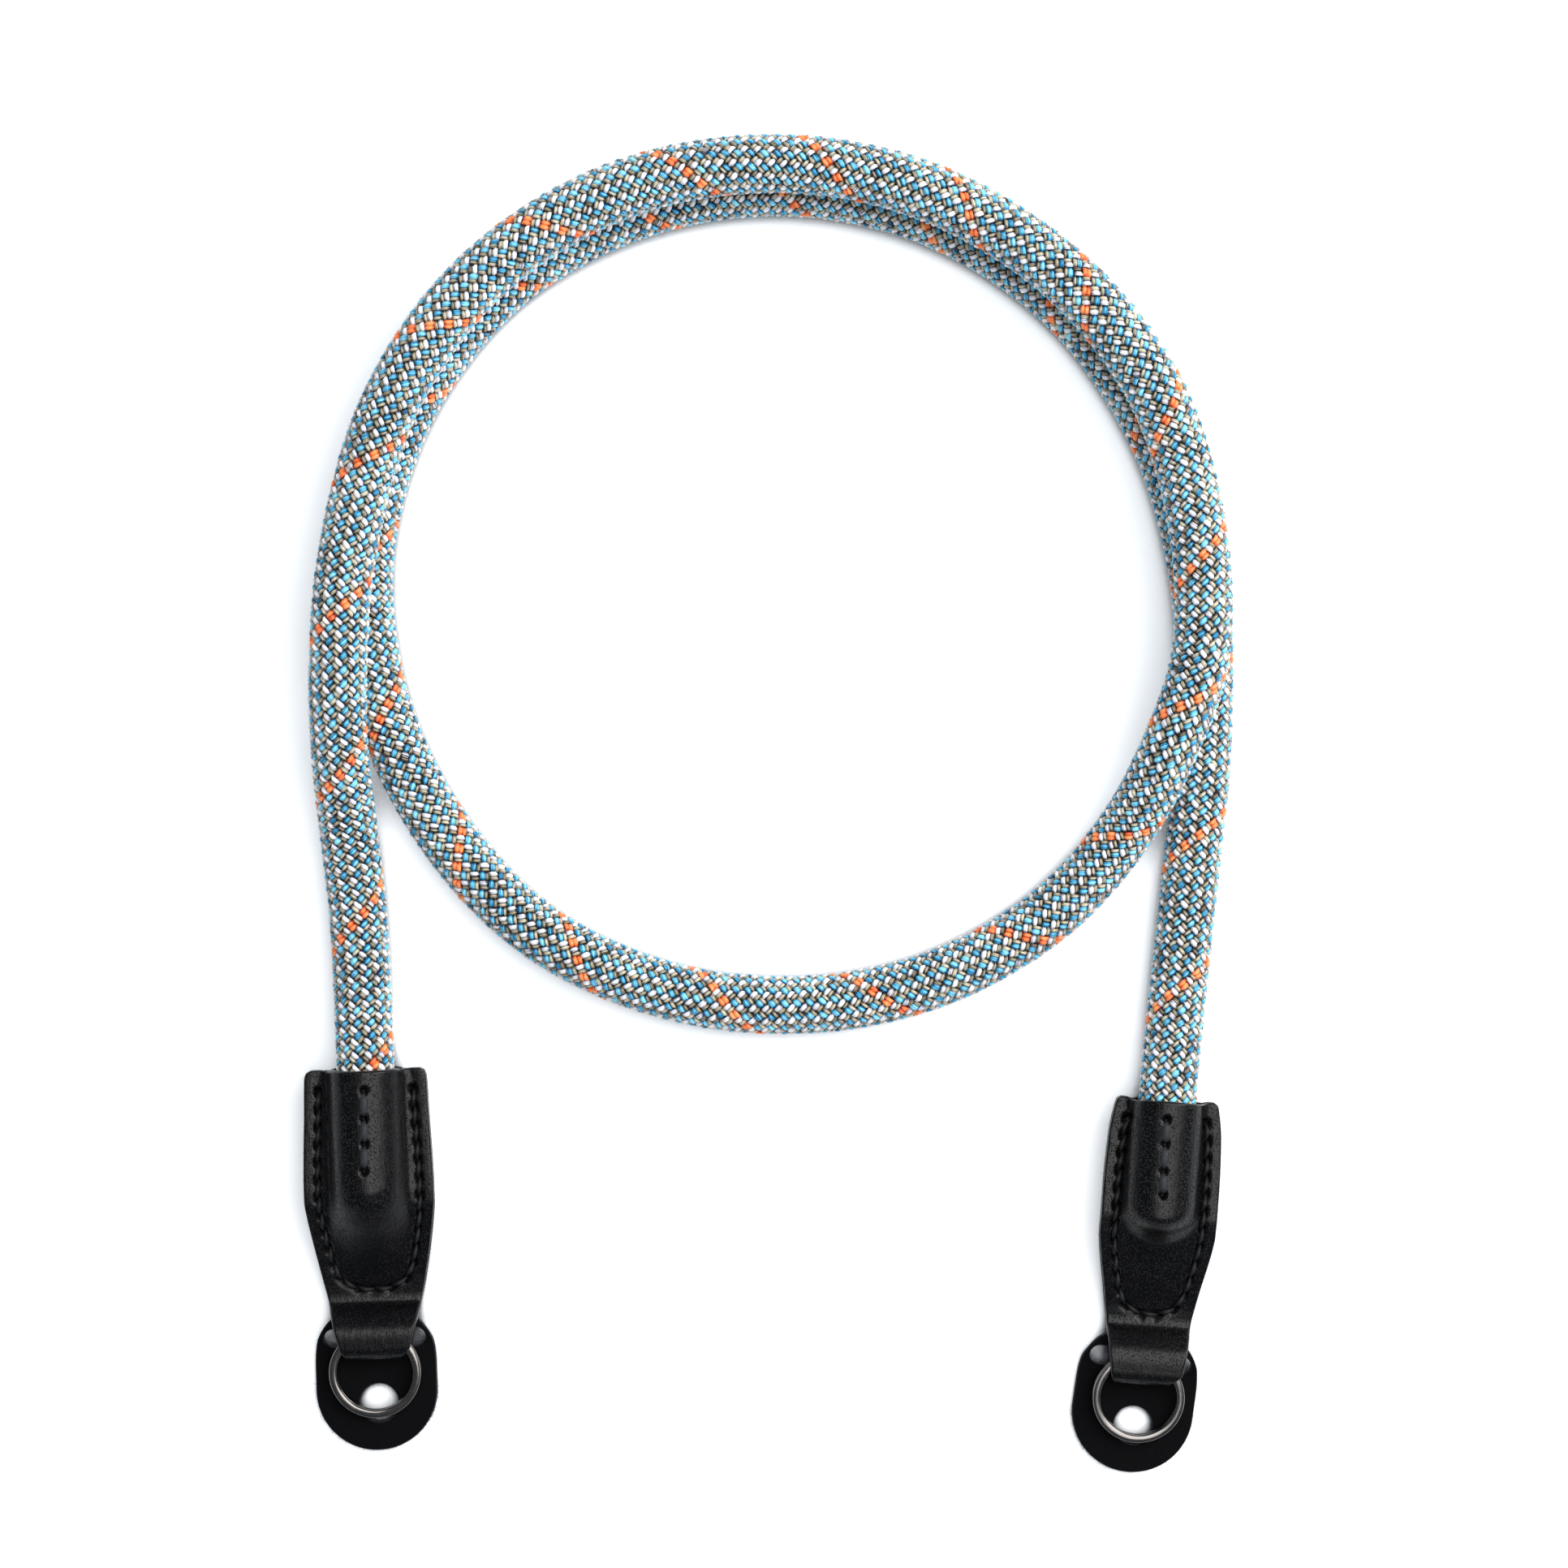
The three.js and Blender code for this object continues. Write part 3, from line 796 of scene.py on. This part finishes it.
    def seam_half(self, along):
        """The seam's distance from the middle: along the edge, then closing below the rope's end."""
        end = self.tab["seam_end"]
        past = np.clip((np.asarray(along) - (end - SEAM_BEND)) / SEAM_BEND, 0, 1)
        return (self.width_at(along) - SEAM_INSET) * (1 - past ** 3) ** (1 / 3)

    def seam_line(self):
        """Points across and along the seam, close together, from one mouth edge to the other."""
        down = np.concatenate([
            np.arange(0, self.tab["seam_end"] - SEAM_BEND, 0.2),
            self.tab["seam_end"] - SEAM_BEND * (1 - np.sin(np.linspace(0, math.pi / 2, 60))),
        ])
        half = self.seam_half(down)
        left = np.stack([-half, down], axis=1)
        right = np.stack([half, down], axis=1)[::-1][1:]
        return np.vstack([left, right])

    def seam_holes(self):
        line = self.seam_line()
        start = np.argmax(line[:, 1] > SEAM_START)
        line = line[start:len(line) - start]
        gone = np.concatenate([[0], np.cumsum(np.linalg.norm(np.diff(line, axis=0), axis=1))])
        count = round(gone[-1] / SEAM_PITCH)
        at = np.linspace(0, gone[-1], count + 1)
        return np.stack([np.interp(at, gone, line[:, i]) for i in range(2)], axis=1)

    def relief(self):
        """How far the leather is pressed in at the seam and its holes, on both layers."""
        line = self.seam_line()[::2]
        holes = self.seam_holes()
        run = np.gradient(holes, axis=0)
        run /= np.linalg.norm(run, axis=1, keepdims=True)
        tacks = np.array(self.tab["tacks"])
        depth = np.zeros(self.across.shape)
        for i, (along, side) in enumerate(zip(self.places, self.sides)):
            if side == 0:
                continue
            spot = np.stack([self.across[i], np.full_like(self.across[i], along)], axis=1)
            away = np.linalg.norm(spot[:, None] - line[None], axis=2).min(axis=1)
            depth[i] -= GROOVE_DEPTH * np.exp(-(away / GROOVE_WIDTH) ** 2)
            from_hole = spot[:, None] - holes[None]
            down = (from_hole * run[None]).sum(axis=2)
            off = (from_hole * np.stack([run[:, 1], -run[:, 0]], axis=1)[None]).sum(axis=2)
            near = ((down / SLIT_LENGTH) ** 4 + (off / SLIT_WIDTH) ** 4).min(axis=1)
            depth[i] -= SLIT_DEPTH * np.exp(-near)
            near = np.linalg.norm(spot[:, None] - tacks[None], axis=2).min(axis=1)
            depth[i] -= TACK_DEPTH * np.exp(-(near / TACK_WIDTH) ** 4)
        return depth

    def edge_drop(self, depth):
        """The outer and inner faces come together a little at every edge."""
        half = self.across[:, -1:]
        past = np.clip((np.abs(self.across) - (half - EDGE_ROUND)) / EDGE_ROUND, 0, 1)
        mouth = np.clip((EDGE_ROUND - self.places[:, None]) / EDGE_ROUND, 0, 1)
        past = np.maximum(past, mouth)
        return depth * (1 - np.sqrt(1 - np.minimum(past, 0.999) ** 2))

    def faces_out_and_in(self):
        outer = self.rows + self.normals * (self.relief() - self.edge_drop(EDGE_ROUND))[..., None]
        inner = self.rows - self.normals * (STRIP - self.edge_drop(INNER_ROUND))[..., None]
        return outer, inner

    def on_face(self, across, along, side=1):
        """The point of the outer face and its normal there."""
        rows = np.flatnonzero(self.sides == side)
        order = rows[np.argsort(self.places[rows])]
        i = np.clip(np.searchsorted(self.places[order], along), 1, len(order) - 1)
        low, high = order[i - 1], order[i]
        share = (along - self.places[low]) / (self.places[high] - self.places[low])
        found = []
        for grid in (self.rows, self.normals):
            ends = []
            for row in (low, high):
                ends.append([np.interp(across, self.across[row], grid[row, :, k]) for k in range(3)])
            found.append((1 - share) * np.array(ends[0]) + share * np.array(ends[1]))
        return found[0], found[1] / np.linalg.norm(found[1])


def to_world(tab, points):
    """From a tab's own frame in millimetres to metres."""
    turn = Matrix.Rotation(tab["turn"], 3, "Z")
    points = np.asarray(points) @ np.array(turn).T
    return (points + np.array([*tab["mouth"], 0])) * MM


def strip_piece(strip, material):
    outer, inner = strip.faces_out_and_in()
    loop = np.concatenate([outer, inner[:, ::-1]], axis=1)
    count, size, _ = loop.shape
    faces = wall_faces(count, size)
    last = (count - 1) * size
    for step in range(size // 2 - 1):
        far = size - 1 - step
        faces.append((step + 1, step, far, far - 1))
        faces.append((last + step, last + step + 1, last + far - 1, last + far))
    points = to_world(strip.tab, loop.reshape(-1, 3))
    return new_mesh(f"tab_{strip.tab['side']}_leather", points.tolist(), faces, material)


def threads_piece(name, tab, paths, material, sides=8, flat=1.0):
    """Short threads joined in one piece. Each path is rows of (point, normal, radius)."""
    points = []
    faces = []
    for path in paths:
        middle, up, radius = (np.array([row[i] for row in path]) for i in range(3))
        ahead = np.gradient(middle, axis=0)
        ahead /= np.linalg.norm(ahead, axis=1, keepdims=True)
        side = np.cross(ahead, up)
        side /= np.linalg.norm(side, axis=1, keepdims=True)
        top = np.cross(side, ahead)
        base = len(points)
        for i in range(len(path)):
            for step in range(sides):
                angle = 2 * math.pi * step / sides
                out = side[i] * math.cos(angle) + flat * top[i] * math.sin(angle)
                points.append(middle[i] + radius[i] * out)
        faces += wall_faces(len(path), sides, base, turned=True)
        faces.append(tuple(base + step for step in range(sides)))
        last = base + (len(path) - 1) * sides
        faces.append(tuple(last + step for step in range(sides - 1, -1, -1)))
    points = to_world(tab, points)
    return new_mesh(f"{name}_{tab['side']}", points.tolist(), faces, material)


SEAM_THREAD = 0.42
SEAM_LEAN = 0.22
SEAM_ARCH = 1.8
TACK_THREAD = 0.68
TACK_FLATNESS = 0.6
TACK_LIFT = 0.05
TACK_INSET = 0.1
TACK_ARCH = 4
THREAD_DIVE = 1.2
THREAD_END = 0.72


def stitch(strip, start, end, side, radius, lift, sharp):
    """A thread from one hole to the next: it comes up, lies on the leather and goes down."""
    rows = []
    for t in np.linspace(0, 1, 11):
        across = start[0] + t * (end[0] - start[0])
        along = start[1] + t * (end[1] - start[1])
        point, normal = strip.on_face(across, along, side)
        arch = 1 - abs(2 * t - 1) ** sharp
        height = lift * arch - THREAD_DIVE * (1 - arch)
        size = radius * (THREAD_END + (1 - THREAD_END) * arch)
        rows.append((point + normal * height, normal, size))
    return rows


def seam_threads(strip, material):
    paths = []
    holes = strip.seam_holes()
    for side in (1, -1):
        for start, end in zip(holes[:-1], holes[1:]):
            lean = SEAM_LEAN * side
            gap = end - start
            out = np.array([gap[1], -gap[0]]) / np.linalg.norm(gap)
            ends = (start + lean * out, end - lean * out)
            lift = 0 if side > 0 else -SEAM_THREAD
            paths.append(stitch(strip, *ends, side, SEAM_THREAD, lift, SEAM_ARCH))
    return threads_piece("seam_thread", strip.tab, paths, material)


def tack_threads(strip, material):
    paths = []
    tacks = np.array(strip.tab["tacks"])
    for side in (1, -1):
        lift = TACK_LIFT if side > 0 else -TACK_FLATNESS * TACK_THREAD
        for start, end in zip(tacks[:-1], tacks[1:]):
            inset = TACK_INSET * (end - start)
            ends = (start + inset, end - inset)
            paths.append(stitch(strip, *ends, side, TACK_THREAD, lift, TACK_ARCH))
    return threads_piece("tack_thread", strip.tab, paths, material, flat=TACK_FLATNESS)


# Split ring: one wire with a rounded section, two turns long. It opens under the fold.


def ring_piece(strip, material):
    tab = strip.tab
    pitch = RING_WIRE_HEIGHT + RING_COIL_GAP
    turn = 2 * math.pi
    span = 2 * turn - RING_CLIMB - RING_ENDS_GAP
    steps = 2 * RING_TURN_STEPS
    corner = RING_WIRE_CORNER
    section = []
    for quarter in range(4):
        for part in range(4):
            angle = (quarter + part / 3) * math.pi / 2
            side = 1 if quarter in (0, 3) else -1
            up = 1 if quarter in (0, 1) else -1
            x = side * (RING_WIRE_WIDTH / 2 - corner) + corner * math.cos(angle)
            z = up * (RING_WIRE_HEIGHT / 2 - corner) + corner * math.sin(angle)
            section.append((x, z))
    points = []
    size = len(section)
    for step in range(steps + 1):
        angle = span * step / steps
        climb = min(max((angle - (turn - RING_CLIMB)) / RING_CLIMB, 0), 1)
        base = pitch * smooth_step(climb) + RING_WIRE_HEIGHT / 2 - RING_HEIGHT / 2
        for x, z in section:
            radius = RING_MEAN + x
            points.append((radius * math.cos(angle), radius * math.sin(angle), base + z))
    faces = wall_faces(steps + 1, size, turned=True)
    faces.append(tuple(range(size)))
    faces.append(tuple(steps * size + i for i in range(size - 1, -1, -1)))
    tilt = Matrix.Rotation(strip.ring_tilt, 3, "X")
    opens = Matrix.Rotation(RING_OPENS, 3, "Z")
    centre = FOLD_BOTTOM + RING_MEAN * math.sin(strip.ring_tilt) + RING_HEIGHT / 2
    points = np.array(points) @ np.array(tilt @ opens).T
    points = points + np.array([tab["ring"]["across"], -tab["ring"]["along"], centre])
    return new_mesh(f"ring_{tab['side']}_wire", to_world(tab, points).tolist(), faces, material)


# Flap


def spline_points(curve, rows):
    spline = curve.splines.new("POLY")
    spline.points.add(len(rows) - 1)
    for point, (x, y) in zip(spline.points, rows):
        point.co = (x, y, 0, 1)
    spline.use_cyclic_u = True


def bend(start, control, end, steps=12):
    """Points of a quadratic curve, without its first."""
    rows = []
    for step in range(1, steps + 1):
        t = step / steps
        rows.append(tuple((1 - t) ** 2 * start[i] + 2 * t * (1 - t) * control[i] + t ** 2 * end[i]
                          for i in range(2)))
    return rows


def arc(x, y, radius, start, end, steps=24):
    return [(x + radius * math.cos(start + (end - start) * step / steps),
             y + radius * math.sin(start + (end - start) * step / steps)) for step in range(steps + 1)]


CUT_EDGE_SLOPE = 0.75
FLAP_ROUNDING = 0.3
# Lines that cut the face into squares: their axis, the first place and the last
FLAP_GRID = 0.9
FLAP_GRID_LINES = ((1, -68, -43), (0, -11, 11))
FLAP_BEND = (SLOT_TOP - 0.3, SLOT_TOP + SLOT_WIDTH + 0.4)


def flap_outline():
    half = FLAP_WIDTH / 2
    slot_half = SLOT_LENGTH / 2 + FLAP_SIDE_BAR
    slot_middle = SLOT_TOP + SLOT_WIDTH / 2
    top_half = FLAP_TOP_WIDTH / 2
    corner = top_half - FLAP_CORNER_DROP
    right = [(corner, -FLAP_TOP)]
    right += bend((corner, -FLAP_TOP), (top_half, -FLAP_TOP), (slot_half, -slot_middle))
    right += bend(right[-1], (half, -SLOT_TOP - SLOT_WIDTH), (half, -FLAP_SHOULDER))
    tongue = arc(0, -FLAP_CENTRE, half, 0, -math.pi, 40)
    left = [(-x, y) for x, y in reversed(right)]
    return right + tongue + left


def flap_piece(strip, material, edge_material):
    tab = strip.tab
    curve = bpy.data.curves.new("flap_outline", "CURVE")
    curve.dimensions = "2D"
    curve.fill_mode = "BOTH"
    curve.extrude = FLAP_THICKNESS / 2 - FLAP_ROUNDING
    curve.bevel_depth = FLAP_ROUNDING
    curve.bevel_resolution = 2
    curve.offset = -FLAP_ROUNDING
    spline_points(curve, flap_outline())
    hole = FLAP_HOLE
    spline_points(curve, arc(hole["across"], -hole["along"], hole["diameter"] / 2, 0, 2 * math.pi, 40)[:-1])
    slot_end = SLOT_LENGTH / 2 - SLOT_WIDTH / 2
    slot_middle = -SLOT_TOP - SLOT_WIDTH / 2
    slot = arc(slot_end, slot_middle, SLOT_WIDTH / 2, -math.pi / 2, math.pi / 2, 12)
    slot += arc(-slot_end, slot_middle, SLOT_WIDTH / 2, math.pi / 2, 1.5 * math.pi, 12)
    spline_points(curve, slot)
    holder = bpy.data.objects.new("flap_outline", curve)
    bpy.context.scene.collection.objects.link(holder)
    depsgraph = bpy.context.evaluated_depsgraph_get()
    mesh = bpy.data.meshes.new_from_object(holder.evaluated_get(depsgraph))
    bpy.data.objects.remove(holder)

    work = bmesh.new()
    work.from_mesh(mesh)
    bmesh.ops.remove_doubles(work, verts=work.verts, dist=0.001)
    for axis, low, high in FLAP_GRID_LINES:
        for place in np.arange(low, high, FLAP_GRID):
            centre = [0, 0, 0]
            normal = [0, 0, 0]
            centre[axis] = place
            normal[axis] = 1
            everything = work.verts[:] + work.edges[:] + work.faces[:]
            bmesh.ops.bisect_plane(work, geom=everything, plane_co=centre, plane_no=normal, dist=0.0005)
    bend_from, bend_to = FLAP_BEND
    turn = Matrix.Rotation(tab["flap"]["turn"], 3, "Z")
    pivot = Vector((0, -SLOT_TOP, 0))
    shift = Vector((tab["flap"]["across"], -tab["flap"]["along"], 0))
    for vertex in work.verts:
        x, y, z = vertex.co
        share = min(max((-y - bend_from) / (bend_to - bend_from), 0), 1)
        z += FLAP_THICKNESS / 2 + BAR_BOTTOM * (1 - smooth_step(share))
        local = turn @ (Vector((x, y, z)) - pivot) + pivot + shift
        vertex.co = local
    work.normal_update()
    work.to_mesh(mesh)
    work.free()
    coordinates = np.array([vertex.co[:] for vertex in mesh.vertices])
    placed = to_world(tab, coordinates)
    mesh.vertices.foreach_set("co", placed.astype(np.float32).ravel())
    mesh.name = f"flap_{tab['side']}_suede"
    mesh.materials.clear()
    mesh.materials.append(material)
    mesh.materials.append(edge_material)
    for face in mesh.polygons:
        face.material_index = int(abs(face.normal.z) < CUT_EDGE_SLOPE)
    mesh.shade_smooth()
    piece = bpy.data.objects.new(mesh.name, mesh)
    bpy.context.scene.collection.objects.link(piece)
    return piece


# Loose fibres at the cut edges, in millimetres
FIBRE_LENGTH = 0.34
FIBRE_RADIUS = 0.022
FIBRE_SCATTER = 0.5
FIBRE_CURL = 0.35
FLAP_FIBRES = 260
HOLE_FIBRES = 40
TAB_FIBRES = 90


def fibre(root, out, normal):
    """A short curved hair that tapers to a point from its root in the edge."""
    length = FIBRE_LENGTH * (0.4 + random.gamma(2, 0.35))
    out = np.array(out) + FIBRE_SCATTER * random.standard_normal(3)
    curl = FIBRE_CURL * random.standard_normal(3)
    rows = []
    for t in (-0.2, 0.3, 0.7, 1):
        point = root + length * (t * out + t * t * curl)
        point[2] = max(point[2], FIBRE_RADIUS)
        rows.append((point, normal, FIBRE_RADIUS * (1.15 - t)))
    return rows


def fuzz_piece(strip, material):
    tab = strip.tab
    flap = tab["flap"]
    turn = np.array(Matrix.Rotation(flap["turn"], 2))
    pivot = np.array([0, -SLOT_TOP])
    shift = np.array([flap["across"], -flap["along"]])
    paths = []

    def flap_fibre(spot, out):
        spot = turn @ (spot - pivot) + pivot + shift
        out = turn @ out
        root = np.array([*spot, FLAP_THICKNESS * random.uniform(0.15, 0.85)])
        paths.append(fibre(root, (*out, 0.1), (0, 0, 1)))

    for _ in range(FLAP_FIBRES):
        angle = -math.pi * random.uniform(-0.05, 1.05)
        out = np.array([math.cos(angle), math.sin(angle)])
        flap_fibre(np.array([0, -FLAP_CENTRE]) + (FLAP_WIDTH / 2 - 0.1) * out, out)
    for _ in range(HOLE_FIBRES):
        angle = random.uniform(0, 2 * math.pi)
        out = np.array([math.cos(angle), math.sin(angle)])
        middle = np.array([FLAP_HOLE["across"], -FLAP_HOLE["along"]])
        flap_fibre(middle + (FLAP_HOLE["diameter"] / 2 + 0.1) * out, -0.6 * out)
    for _ in range(TAB_FIBRES):
        row = random.integers(len(strip.rows))
        end = int(random.integers(2))
        edge = strip.rows[row, -end] - strip.normals[row, -end] * random.uniform(0.3, 0.9)
        side = 2 * end - 1
        paths.append(fibre(edge - np.array([0.1 * side, 0, 0]), (0.7 * side, 0, 0), (0, 0, 1)))
    return threads_piece("fuzz", tab, paths, material, sides=3)


def leather_material():
    """Black smooth leather: fine pores a little longer than wide, and a soft gloss."""
    look = Look("leather_black")
    place = look.place()
    spots = {"Vector": look.stretch(place, (1, 0.7, 1)), "Scale": 3400}
    pores = look.node("TexVoronoi", spots, "Distance")
    cloud = look.noise(1500, look.stretch(place, (1, 0.3, 1), 0.2), 4)
    edges = {"Value": pores, "From Min": 0.1, "From Max": 0.42}
    pits = look.node("MapRange", edges, interpolation_type="SMOOTHSTEP")
    height = look.node("Math", {0: cloud, 1: 1.2, 2: pits}, operation="MULTIPLY_ADD")
    return look.done({
        "Base Color": look.ramp(cloud, linear(2, 2, 3), linear(7, 7, 9)),
        "Normal": look.bump(height, 0.8, 0.00008),
        "Roughness": look.spread(pits, 0.65, 0.28),
        "Specular IOR Level": 0.24,
    })


def suede_material(name, dark, light):
    """Short nap, for the flap and its cut edge."""
    look = Look(name)
    nap = look.noise(2200, look.place(), 6)
    return look.done({
        "Base Color": look.ramp(nap, dark, light),
        "Normal": look.bump(nap, 0.8, 0.0002),
        "Roughness": 0.9,
        "Specular IOR Level": 0.06,
    })


def metal_material():
    look = Look("nickel_dark")
    wear = look.noise(900, look.place(), 3)
    return look.done({
        "Base Color": look.ramp(wear, linear(114, 110, 108), linear(130, 126, 124)),
        "Roughness": look.spread(wear, 0.12, 0.22),
        "Metallic": 1,
    })


def thread_material(name, dark, light):
    look = Look(name)
    fibre = look.noise(1800, look.stretch(look.place(), (4.5, 0.6, 1)))
    return look.done({
        "Base Color": look.ramp(fibre, dark, light),
        "Normal": look.bump(fibre, 0.6, 0.0001),
        "Roughness": 0.6,
        "Specular IOR Level": 0.25,
    })


def tabs():
    leather = leather_material()
    suede = suede_material("suede_black", linear(4, 4, 5), linear(14, 14, 16))
    cut_edge = suede_material("suede_cut_edge", linear(18, 18, 21), linear(60, 61, 68))
    metal = metal_material()
    black = thread_material("thread_black", linear(5, 5, 6), linear(26, 27, 30))
    charcoal = thread_material("thread_charcoal", linear(12, 13, 15), linear(56, 59, 65))
    for tab in TABS:
        strip = Strip(tab)
        side = tab["side"]
        leather_piece = strip_piece(strip, leather)
        threads = [seam_threads(strip, black), tack_threads(strip, charcoal)]
        ring = ring_piece(strip, metal)
        flap = flap_piece(strip, suede, cut_edge)
        fuzz = fuzz_piece(strip, cut_edge)
        for piece in (leather_piece, *threads, ring, flap, fuzz):
            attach(piece, "root")
        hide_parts(f"tab_{side}")
        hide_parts(f"ring_{side}")
        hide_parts(f"flap_{side}")


# Floor, light and camera, as in the photograph: straight down over the middle of the picture
CAMERA_PLACE = (0.0040, 0.0853, 0.705)
CAMERA_LENS = 91.3
FLOOR_SIZE = 14
SKY_LOW = (0.6, 0.64, 0.68, 1)
SKY_HIGH = (0.135, 0.15, 0.17, 1)
SKY_RISE = 0.2


def stage():
    half = FLOOR_SIZE / 2
    corners = [(-half, -half, 0), (half, -half, 0), (half, half, 0), (-half, half, 0)]
    floor = new_mesh("floor", corners, [(0, 1, 2, 3)], floor_material(), smooth=False)

    studio = Look("studio", "worlds")
    direction = studio.node("TexCoord", {}, "Generated")
    rise = studio.node("SeparateXYZ", {"Vector": direction}, "Z")
    sky = studio.ramp(rise, SKY_LOW, SKY_HIGH, SKY_RISE)
    bpy.context.scene.world = studio.done({"Color": sky}, "Background")

    lights = [
        ("overhead", (0.28, 0.25, 1.05), 1.2, 17, (1.0, 0.995, 0.985)),
        ("key", (0.75, 0.45, 0.55), 0.6, 6, (1.0, 0.985, 0.96)),
    ]
    for name, place, size, power, colour in lights:
        data = bpy.data.lights.new(name, "AREA")
        data.size = size
        data.energy = power
        data.color = colour
        light = bpy.data.objects.new(name, data)
        light.location = place
        aim = Vector((0, 0.08, 0)) - Vector(place)
        light.rotation_euler = aim.to_track_quat("-Z", "Y").to_euler()
        bpy.context.scene.collection.objects.link(light)


def camera():
    data = bpy.data.cameras.new("camera")
    data.lens = CAMERA_LENS
    data.sensor_width = 36
    data.clip_start = 0.01
    eye = bpy.data.objects.new("camera", data)
    eye.location = CAMERA_PLACE
    bpy.context.scene.collection.objects.link(eye)
    bpy.context.scene.camera = eye


stage()
camera()
rope()
tabs()
bpy.context.scene.view_settings.view_transform = "Standard"
